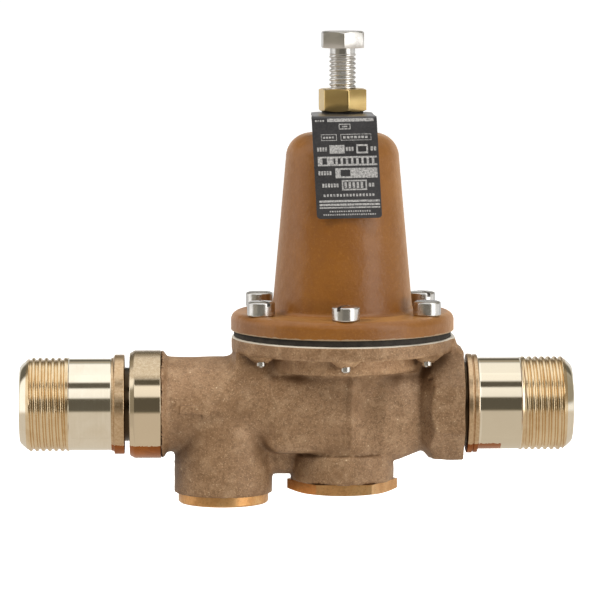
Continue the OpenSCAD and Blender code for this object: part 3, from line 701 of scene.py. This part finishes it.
def pipe_end(name, profile, thread, node, face, chamfer_end):
    """Turned pipe end with a cut thread between two stations, and a chamfer from the end face to
    the station where it meets the crests."""
    start, end = thread
    points = []
    for (x1, r1), (x2, r2) in zip(profile, profile[1:] + profile[:1]):
        points.append((x1, r1))
        lo, hi = min(x1, x2), max(x1, x2)
        if abs(r1 - r2) < 1e-6 and lo < start + 0.2 and hi > end - 0.2 and r1 > BARREL_R:
            count = int((hi - lo) / THREAD_STEP)
            points += [(x1 + (x2 - x1) * i / count, r1) for i in range(1, count)]
    # The thread runs out at the end face, and fades towards the barrel
    first, last = (start - 3, end) if face < chamfer_end else (start, end + 3)

    def cut(along, angle, radius):
        threaded = (radius > PIPE_CREST - 0.01) & (along > start - 0.1) & (along < end + 0.1)
        r = wave_thread(along - THREAD_SHIFT, angle, radius, first - THREAD_SHIFT,
                        last - THREAD_SHIFT, PIPE_PITCH, THREAD_DEPTH, crest=0.24)
        reach = np.abs(along - face) / CHAMFER
        limit = CHAMFER_R + (PIPE_CREST - CHAMFER_R) * reach ** 0.8
        return along, np.where(threaded, np.minimum(r, limit), radius)

    obj = lathe(name, points, looks["bright_brass"], sides=144, sharp=40, shape=cut)
    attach(obj, "housing")
    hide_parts(node)


def with_arcs(points, radius):
    return soften(points, radius, steps=3, keep_ends=False)


inlet_profile = (
    [(0.0, 10.8), (0.0, 13.0), (0.02, CHAMFER_R), (0.35, PIPE_CREST), (17.0, PIPE_CREST)]
    + with_arcs([(17.0, BARREL_R), (31.6, BARREL_R), (31.8, 16.1), (32.6, 16.3), (32.9, 17.3),
                 (36.3, 17.3), (36.3, 12.8), (40.6, 12.8), (40.6, 15.6), (42.6, 15.6),
                 (42.6, BORE_R)], 0.3)[1:]
    + [(0.4, BORE_R)]
)
pipe_end("inlet_pipe_end", inlet_profile, INLET_THREAD, "inlet_tailpiece", 0.0, CHAMFER)
outlet_profile = (
    [(END_X, 10.8), (END_X, 13.0), (END_X - 0.02, CHAMFER_R), (END_X - 0.35, PIPE_CREST),
     (173.7, PIPE_CREST)]
    + with_arcs([(173.7, BARREL_R), (158.9, BARREL_R), (158.8, 17.1), (157.4, 17.1),
                 (157.25, 16.7), (157.0, 16.7), (156.9, 17.3), (155.1, 17.3), (155.1, 14.45),
                 (143.2, 14.45), (143.2, BORE_R)], 0.3)[1:]
    + [(END_X - 0.4, BORE_R)]
)
pipe_end("outlet_pipe_end", outlet_profile, OUTLET_THREAD, "outlet_tailpiece", END_X,
         END_X - CHAMFER)

nut_profile = soften([(38.1, 13.1), (38.1, 17.75), (39.8, 18.75), (48.8, 18.75), (49.0, 18.55),
                      (49.0, 15.95), (40.6, 15.95), (40.6, 13.1)], 0.35, keep_ends=False)
union_nut = lathe("union_nut", nut_profile, looks["bright_brass"], sides=144)
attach(union_nut, "housing")
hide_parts("inlet_union_nut")


# -------------------- adjusting bolt, nut, screws

def hex_radius(angle, af, corner, power=70.0):
    """Radius of a hexagon with slightly rounded corners, one of them at the corner angle."""
    total = 0.0
    for i in range(6):
        face = math.radians(corner + 30) + i * TAU / 6
        total = total + np.maximum(np.cos(angle - face), 1e-6) ** power
    return af / 2 / total ** (1 / power)


def hex_piece(name, low, high, af, corner, look, cut_low, cut_high, hole=0.0, flat=0.965):
    """Hexagon whose chamfers leave the curved edges of a real nut. The cuts are their slopes, and
    flat is the radius of its plain ends over af / 2. Angles crowd the corners."""
    crowd = np.sort(np.append(np.linspace(0, 1, 33)[:-1], [0.48, 0.49, 0.504, 0.51, 0.52]))
    angles = np.concatenate([math.radians(corner + 30) + (i + crowd) * TAU / 6
                             for i in range(6)])
    n = len(angles)
    edge = hex_radius(angles, af, corner)
    rim = af / 2 * flat
    top_z = high - np.maximum(edge - rim, 0) * cut_high
    low_z = low + np.maximum(edge - rim, 0) * cut_low
    inner, outer = np.minimum(rim - 0.15, edge - 0.2), np.minimum(rim, edge - 0.1)
    rings = [(inner, low), (outer, low + 0.02), (edge - 0.04, low_z + 0.02), (edge, low_z + 0.14),
             (edge, (low_z + top_z) / 2), (edge, top_z - 0.14), (edge - 0.04, top_z - 0.02),
             (outer, high - 0.02), (inner, high)]
    if hole:
        rings = [(hole, low + 0.3), (hole + 0.3, low)] + rings + [(hole + 0.3, high),
                                                                  (hole, high - 0.3)]
    verts = np.concatenate([np.stack([VALVE_X + r * np.cos(angles), r * np.sin(angles),
                                      z + np.zeros(n)], 1) for r, z in rings])
    faces = list(map(tuple, grid_faces(len(rings), n, bool(hole))))
    if not hole:
        verts = np.vstack([verts, [(VALVE_X, 0, low), (VALVE_X, 0, high)]])
        top = (len(rings) - 1) * n
        faces += [(len(verts) - 2, (a + 1) % n, a) for a in range(n)]
        faces += [(len(verts) - 1, top + a, top + (a + 1) % n) for a in range(n)]
    obj = add_piece(name, verts, faces, look, sharp=28)
    outward(obj)
    return obj


def join(first, second):
    """Adds the second object's mesh to the first, as one piece."""
    work = bmesh.new()
    work.from_mesh(first.data)
    work.from_mesh(second.data)
    work.to_mesh(first.data)
    work.free()
    bpy.data.objects.remove(second, do_unlink=True)


BOLT_LENGTH = 50.8
BOLT_PITCH = 1.5875
BOLT_CREST = 4.62
BOLT_TIP = HEAD_Z - BOLT_LENGTH
NECK_LOW = HEAD_Z - 2.1


def bolt_shape(along, angle, radius):
    """Cuts the thread where the shank has its full radius."""
    threaded = radius > BOLT_CREST - 0.02
    r = wave_thread(along, angle, radius, BOLT_TIP + 0.6, NECK_LOW, BOLT_PITCH, 0.62, fade=0.9,
                    crest=0.22)
    return along, np.where(threaded, r, radius)


thread_low = BOLT_TIP + 0.8
steps = int((NECK_LOW - thread_low) / 0.12)
shank = [(BOLT_TIP, 0.0), (BOLT_TIP, 3.9), (thread_low, BOLT_CREST)]
shank += [(thread_low + (NECK_LOW - thread_low) * i / steps, BOLT_CREST)
          for i in range(1, steps)]
shank += [(NECK_LOW, BOLT_CREST), (NECK_LOW + 0.15, 4.36), (HEAD_Z + 0.2, 4.36),
          (HEAD_Z + 0.2, 0.0)]
bolt = lathe("adjusting_screw", shank, looks["stainless"], axis="z", centre=(VALVE_X, 0),
             sides=72, sharp=45, shape=bolt_shape)
head = hex_piece("screw_head", HEAD_Z, HEAD_Z + 5.8, 14.29, 32, looks["stainless"], 0.1, 0.5)
join(bolt, head)
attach(bolt, "adjuster")
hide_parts("adjusting_bolt")

jam_nut = hex_piece("jam_nut", NUT_Z, NUT_Z + 7.8, 15, 42, looks["yellow_brass"], 0.35, 0.3,
                    hole=4.85, flat=0.98)
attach(jam_nut, "nut")
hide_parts("lock_nut")


def slotted_screw(index, turn):
    """Fillister-head screw: low dome with a sawn slot, and a plain end under the flange."""
    place = (VALVE_X + SCREW_R * math.cos(turn), SCREW_R * math.sin(turn))
    top = CAGE_FLANGE_TOP + 5.2
    tip = 14.8
    count = 34
    profile = [(tip, 0.0), (tip, 1.3), (tip + 0.5, 1.72), (17.6, 1.75)]
    profile += [(17.8 + (CAGE_FLANGE_TOP - 18) * i / count, 2.4) for i in range(count)]
    profile += soften([(CAGE_FLANGE_TOP, 2.4), (CAGE_FLANGE_TOP, 4.8), (top - 0.55, 4.8),
                       (top - 0.2, 3.9)], 0.5)[1:]
    profile += [(top - 0.08, 2.6), (top - 0.01, 1.2), (top, 0.0)]
    screw = lathe(f"cage_screw_{index + 1}", profile, looks["stainless"], axis="z",
                  centre=place, sides=48, sharp=32)
    slot = turn + math.radians(61 * index - 33)
    c, s = math.cos(slot), math.sin(slot)
    corners = [(sx * 6.0, sy * 0.65, z) for z in (top - 1.7, top + 1.0)
               for sx, sy in ((-1, -1), (1, -1), (1, 1), (-1, 1))]
    corners = [(place[0] + c * u - s * v, place[1] + s * u + c * v, z) for u, v, z in corners]
    blade = add_piece("slot_cutter", corners, BOX_FACES, looks["stainless"])
    cut = screw.modifiers.new("slot", "BOOLEAN")
    cut.operation = "DIFFERENCE"
    cut.object = blade
    cut.solver = "EXACT"
    graph = bpy.context.evaluated_depsgraph_get()
    done = bpy.data.meshes.new_from_object(screw.evaluated_get(graph))
    screw.modifiers.clear()
    screw.data = done
    done.set_sharp_from_angle(angle=math.radians(32))
    bpy.data.objects.remove(blade, do_unlink=True)
    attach(screw, "housing")
    return screw


screws = [slotted_screw(i, turn) for i, turn in enumerate(SCREW_TURNS)]
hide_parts("cage_screws")


# -------------------- nameplate

PLATE_W = 22.2
PLATE_H = 34.8
PLATE_T = 0.7
PLATE_SHIFT = -0.3
TAB_W = 21.2
FACE_Y = -22.4
BEND = 0.8
PRINT_LIFT = 0.8
LEAN = math.radians(1.1)
SKEW = math.tan(math.radians(2.1))


def plate_point(u, down, out=0.0):
    """Point on the plate's face: u across from its middle, a distance down from the fold, and
    out in front of it. Above the bend the sheet turns back over the bell."""
    top = TAB_Z + PLATE_T
    arc = BEND * math.pi / 2
    lean = skew = 0.0
    if down < 0:
        y, z, ny, nz = FACE_Y + BEND - down, top, 0.0, 1.0
    elif down < arc:
        a = down / BEND
        y, z = FACE_Y + BEND - BEND * math.sin(a), top - BEND + BEND * math.cos(a)
        ny, nz = -math.sin(a), math.cos(a)
    else:
        drop = BEND + down - arc
        y, z, ny, nz = FACE_Y, top - drop, -1.0, 0.0
        lean, skew = drop * math.sin(LEAN), drop * SKEW
    tilt = u * math.sin(LEAN) * min(max(down / arc, 0), 1)
    return (VALVE_X + PLATE_SHIFT + u + lean + skew, y + out * ny, z + out * nz + tilt)


def arc_points(centre_x, centre_y, radius, start, steps=8):
    """Quarter circle from a start angle, without its first point."""
    return [(centre_x + radius * math.cos(a), centre_y + radius * math.sin(a))
            for a in np.linspace(start, start + TAU / 4, steps)[1:]]


def nameplate():
    """Sheet with a hole for the bolt, folded down in front of the bell."""
    arc = BEND * math.pi / 2
    total = PLATE_H - BEND + arc
    hole, corner, foot = 5.06, 6.0, 1.2
    back, joint_y = 7.0, -12.0
    left, right = PLATE_SHIFT - TAB_W / 2, PLATE_SHIFT + TAB_W / 2
    columns = 25
    shares = np.linspace(-0.5, 0.5, columns)
    # Ring of sheet round the hole, out to the tab's outline
    outline = [(PLATE_SHIFT + TAB_W * s, joint_y) for s in shares]
    outline += [(right, y) for y in np.linspace(joint_y, back - corner, 10)[1:]]
    outline += arc_points(right - corner, back - corner, corner, 0)
    outline += [(x, back) for x in np.linspace(right - corner, left + corner, 10)[1:]]
    outline += arc_points(left + corner, back - corner, corner, TAU / 4)
    outline += [(left, y) for y in np.linspace(back - corner, joint_y, 10)[1:-1]]
    rim = [(hole * math.cos(a), hole * math.sin(a))
           for a in [math.atan2(y, x) for x, y in outline]]
    tab = joint_y - FACE_Y - BEND
    down_list = list(np.linspace(-tab, 0, 8))[1:] \
        + list(np.linspace(0, arc, 9))[1:] + list(np.linspace(arc, total - foot, 20))[1:] \
        + [total - foot + foot * math.sin(a) for a in np.linspace(0, TAU / 4, 6)[1:]]
    verts, faces = [], []
    for level in (0.0, -PLATE_T):
        base = len(verts)
        z = TAB_Z + PLATE_T + level
        verts += [(VALVE_X + x, y, z) for x, y in outline]
        verts += [(VALVE_X + x, y, z) for x, y in rim]
        n = len(outline)
        for a in range(n):
            b = (a + 1) % n
            faces.append((base + a, base + b, base + n + b, base + n + a))
        row_before = [base + i for i in range(columns)]
        for down in down_list:
            width = TAB_W + (PLATE_W - TAB_W) * min(1, 1 + down / tab)
            pull = max(0.0, down - (total - foot))
            width -= 2 * (foot - math.sqrt(max(foot ** 2 - pull ** 2, 0))) if pull else 0.0
            row = list(range(len(verts), len(verts) + columns))
            verts += [plate_point(s * width, down, level) for s in shares]
            for a in range(columns - 1):
                faces.append((row_before[a], row_before[a + 1], row[a + 1], row[a]))
            row_before = row
    half_count = len(verts) // 2
    # Walls join the two sides along every open edge of the front side
    seen = set()
    for f in faces:
        if max(f) < half_count:
            seen.update(zip(f, f[1:] + f[:1]))
    faces += [(b, a, a + half_count, b + half_count) for a, b in sorted(seen)
              if (b, a) not in seen]
    obj = add_piece("nameplate_sheet", verts, faces, looks["black_plate"], sharp=40)
    outward(obj)
    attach(obj, "tag")
    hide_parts("nameplate")


nameplate()


def printed(name, bars):
    """One piece of print: thin bars, each (left, right, top, bottom), the first two as shares of
    the plate's width and the last two in mm down from the fold."""
    raised = BEND * math.pi / 2 - BEND - PRINT_LIFT
    verts, faces = [], []
    for left, right, top, bottom in bars:
        faces += [[len(verts) + i for i in face] for face in BOX_FACES]
        for out in (-0.02, 0.06):
            for share, drop in ((left, bottom), (right, bottom), (right, top), (left, top)):
                verts.append(plate_point((share - 0.5) * PLATE_W, drop + raised, out))
    obj = add_piece(name, verts, faces, print_ink)
    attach(obj, "tag")


def outlined(left, right, top, bottom, line=0.25):
    """Open box drawn with a thin line."""
    side = line / PLATE_W
    return [(left, right, top, top + line), (left, right, bottom - line, bottom),
            (left, left + side, top + line, bottom - line),
            (right - side, right, top + line, bottom - line)]


def dashes(left, right, top, bottom, count, fill=0.7):
    """Row of equal blocks."""
    width = (right - left) / count
    return [(left + i * width, left + (i + fill) * width, top, bottom) for i in range(count)]


printed("print_header", dashes(0.05, 0.20, 1.9, 2.5, 4) + [(0.24, 0.95, 1.5, 2.6)])
printed("print_mark", outlined(0.41, 0.59, 3.3, 5.2, 0.3) + [(0.46, 0.54, 4.0, 4.5)])
printed("print_row_1", outlined(0.13, 0.37, 6.8, 9.0, 0.2) + outlined(0.43, 0.90, 6.8, 9.0, 0.2)
        + dashes(0.16, 0.34, 7.6, 8.2, 4) + dashes(0.47, 0.86, 7.5, 8.3, 7))
printed("print_row_2", dashes(0.06, 0.22, 11.2, 12.6, 4) + [(0.25, 0.48, 10.5, 13.4)]
        + dashes(0.50, 0.63, 11.2, 12.6, 3) + outlined(0.66, 0.84, 10.4, 13.5, 0.6)
        + dashes(0.88, 0.98, 11.2, 12.6, 2))
printed("print_bar", [(0.06, 0.13, 14.4, 17.6), (0.20, 0.30, 14.4, 17.6),
                      (0.13, 0.20, 14.4, 14.9), (0.13, 0.20, 17.1, 17.6)]
        + [(0.30, 0.97, 14.4, 15.0), (0.30, 0.97, 17.0, 17.6)]
        + dashes(0.33, 0.97, 15.0, 17.0, 8, 0.45))
printed("print_row_3", dashes(0.06, 0.27, 19.3, 20.7, 5) + [(0.32, 0.965, 18.4, 19.0),
        (0.32, 0.965, 21.2, 21.8), (0.32, 0.40, 19.0, 21.2), (0.55, 0.965, 19.0, 21.2)])
printed("print_row_4", dashes(0.11, 0.37, 23.6, 24.9, 6) + outlined(0.41, 0.795, 22.5, 26.0, 0.5)
        + dashes(0.45, 0.76, 23.2, 25.3, 5, 0.6) + dashes(0.82, 0.92, 23.6, 24.9, 2))
printed("print_row_5", dashes(0.12, 0.92, 27.2, 28.1, 16, 0.6))
printed("print_stripes", [(0.05, 0.98, 29.3, 30.0), (0.05, 0.98, 30.5, 31.2),
                          (0.05, 0.98, 31.6, 32.1)])
printed("print_footer", dashes(0.20, 0.84, 32.9, 33.4, 18, 0.65)
        + dashes(0.10, 0.92, 34.0, 34.5, 24, 0.65))


# -------------------- floor, light and camera

# Part of the studio's light that reaches matt surfaces; the lamps give them the rest
DIFFUSE_SHARE = 0.70
BRIGHTEST = 4.0
WHITE_BACKDROP = 1.02
# Places of the lamps and the camera are in metres
LAMP_AIM = (0.11, 0, 0.03)


def studio():
    """Soft studio: banks of light by direction, pale below, white for the camera."""
    world = bpy.data.worlds.new("studio")
    bpy.context.scene.world = world
    world.use_nodes = True
    world.node_tree.nodes.clear()
    g = Graph(world.node_tree)

    def bank(value, *stops):
        """Curve through (degrees, level) stops."""
        node = g.node("FloatCurve", {"Value": g.linear(value, 1 / 360, 0.5)})
        points = node.mapping.curves[0].points
        while len(points) < len(stops):
            points.new(0.5, 0.5)
        node.mapping.use_clip = True
        for point, (degrees, level) in zip(points, sorted(stops)):
            point.location = ((degrees + 180) / 360, level / BRIGHTEST)
            point.handle_type = "VECTOR"
        node.mapping.update()
        return g.times(node.outputs[0], BRIGHTEST)

    def sector(start, full, last, end):
        """1 between two directions round the valve, with edges that fade."""
        return bank(round_, (-180, 0), (start, 0), (full, 1), (last, 1), (end, 0), (180, 0))

    place = g.node("TexCoord", {}).outputs["Generated"]
    x, y, z = g.node("SeparateXYZ", {0: place}).outputs
    up = g.times(g.math("ARCSINE", z), 180 / math.pi)
    round_ = g.times(g.math("ARCTAN2", x, g.times(y, -1.0)), 180 / math.pi)
    level = bank(up, (-180, 0.72), (-14, 0.70), (-9, 0.13), (20, 0.12), (24, 1.15), (45.5, 1.25),
                 (49, 0.12), (61, 0.12), (65.5, 1.30), (180, 1.3))
    right = bank(up, (-180, 0.72), (-14, 0.72), (-8, 2.8), (50, 2.8), (60, 1.4), (180, 1.4))
    far_right = bank(up, (-180, 0.72), (-14, 0.72), (-8, 1.05), (-3, 1.05), (3, 0.35),
                     (38, 0.40), (55, 1.2), (180, 1.3))
    near_left = bank(up, (-180, 0.72), (-14, 0.60), (-8, 0.32), (30, 0.35), (46, 1.1), (180, 1.3))
    left = bank(up, (-180, 0.72), (-14, 0.70), (-8, 1.30), (45, 1.30), (60, 1.3), (180, 1.3))
    back = bank(up, (-180, 0.72), (-14, 0.70), (-6, 0.75), (16, 0.80), (22, 0.15), (34, 0.15),
                (38, 0.45), (46, 0.45), (54, 1.2), (180, 1.3))
    is_left, is_near_left = sector(-118, -110, -76, -70), sector(-76, -70, -36, -28)
    is_back = bank(round_, (-180, 1), (-118, 1), (-110, 0), (118, 0), (126, 1), (180, 1))
    for share, side in ((sector(33, 40, 66, 72), right), (sector(66, 72, 118, 126), far_right),
                        (is_near_left, near_left), (is_left, left), (is_back, back)):
        level = g.add(g.times(level, g.math("SUBTRACT", 1.0, share)), g.times(side, share))
    # Warm bounce from below and out of the dark, neutral light from above
    below = g.math("LESS_THAN", up, -11.0)
    tint = g.mix(below, (1.0, 0.995, 0.985), (1.0, 0.92, 0.82))
    tint = g.mix(g.math("LESS_THAN", level, 0.5), tint, (1.0, 0.92, 0.75))
    # Matt surfaces get less from the left and more from below
    less = g.linear(g.add(is_left, is_near_left), -0.40, DIFFUSE_SHARE - 1)
    less = g.linear(below, 0.80, less)
    ray = g.node("LightPath", {}).outputs
    strength = g.times(level, g.linear(ray["Is Diffuse Ray"], less, 1.0))
    lit = g.node("Background", {0: tint, 1: strength}).outputs[0]
    plain = g.node("Background", {0: (1, 1, 1, 1), 1: WHITE_BACKDROP}).outputs[0]
    both = g.node("MixShader", {0: ray["Is Camera Ray"], 1: lit, 2: plain}).outputs[0]
    g.node("OutputWorld", {0: both})


def pale_floor():
    look = Look("pale_floor", Roughness=0.9)
    soft = look.noise(0.002, 2.0, 0.5)
    look.set("Base Color", look.ramp(soft, (0.3, (0.90, 0.90, 0.89)), (0.7, (0.94, 0.94, 0.93))))
    look.set("Emission Color", (1.0, 1.0, 1.0, 1.0))
    look.set("Emission Strength", 0.45)
    half, z = 15000, -100
    floor = add_piece("floor", [(-half, -half, z), (half, -half, z), (half, half, z),
                                (-half, half, z)], [(0, 1, 2, 3)], look.mat)
    floor.visible_glossy = False
    floor.visible_diffuse = False


def lamp(name, place, aim, size, power, colour):
    light = bpy.data.lights.new(name, "AREA")
    light.shape = "RECTANGLE"
    light.size, light.size_y = size
    light.energy = power
    light.color = colour
    obj = bpy.data.objects.new(name, light)
    bpy.context.scene.collection.objects.link(obj)
    obj.location = place
    obj.rotation_euler = (Vector(aim) - Vector(place)).to_track_quat("-Z", "Y").to_euler()
    obj.visible_glossy = False


studio()
pale_floor()
lamp("key", (0.92, -0.95, -0.02), LAMP_AIM, (0.5, 0.14), 7.5, (1.0, 0.98, 0.94))
lamp("fill", (-0.80, -0.35, 0.85), LAMP_AIM, (0.5, 0.4), 13.0, (1.0, 0.95, 0.88))
lamp("top", (0.40, -0.55, 1.15), LAMP_AIM, (0.30, 0.30), 4.5, (1.0, 0.98, 0.95))
lamp("rim", (0.68, 0.93, 0.52), (0.11, 0, 0.06), (0.22, 0.22), 7.0, (1.0, 0.99, 0.97))

camera = bpy.data.objects.new("camera", bpy.data.cameras.new("camera"))
camera.data.lens = 240
camera.data.sensor_width = 36
camera.data.clip_end = 60
aim = Vector((0.0973, 0.0, 0.03625))
turn, tilt, reach = math.radians(-1.5), math.radians(5.9), 1.389
camera.location = aim + reach * Vector((math.sin(turn) * math.cos(tilt),
                                        -math.cos(turn) * math.cos(tilt), math.sin(tilt)))
camera.rotation_euler = (aim - camera.location).to_track_quat("-Z", "Y").to_euler()
bpy.context.scene.collection.objects.link(camera)
bpy.context.scene.camera = camera
bpy.context.scene.view_settings.view_transform = "Standard"
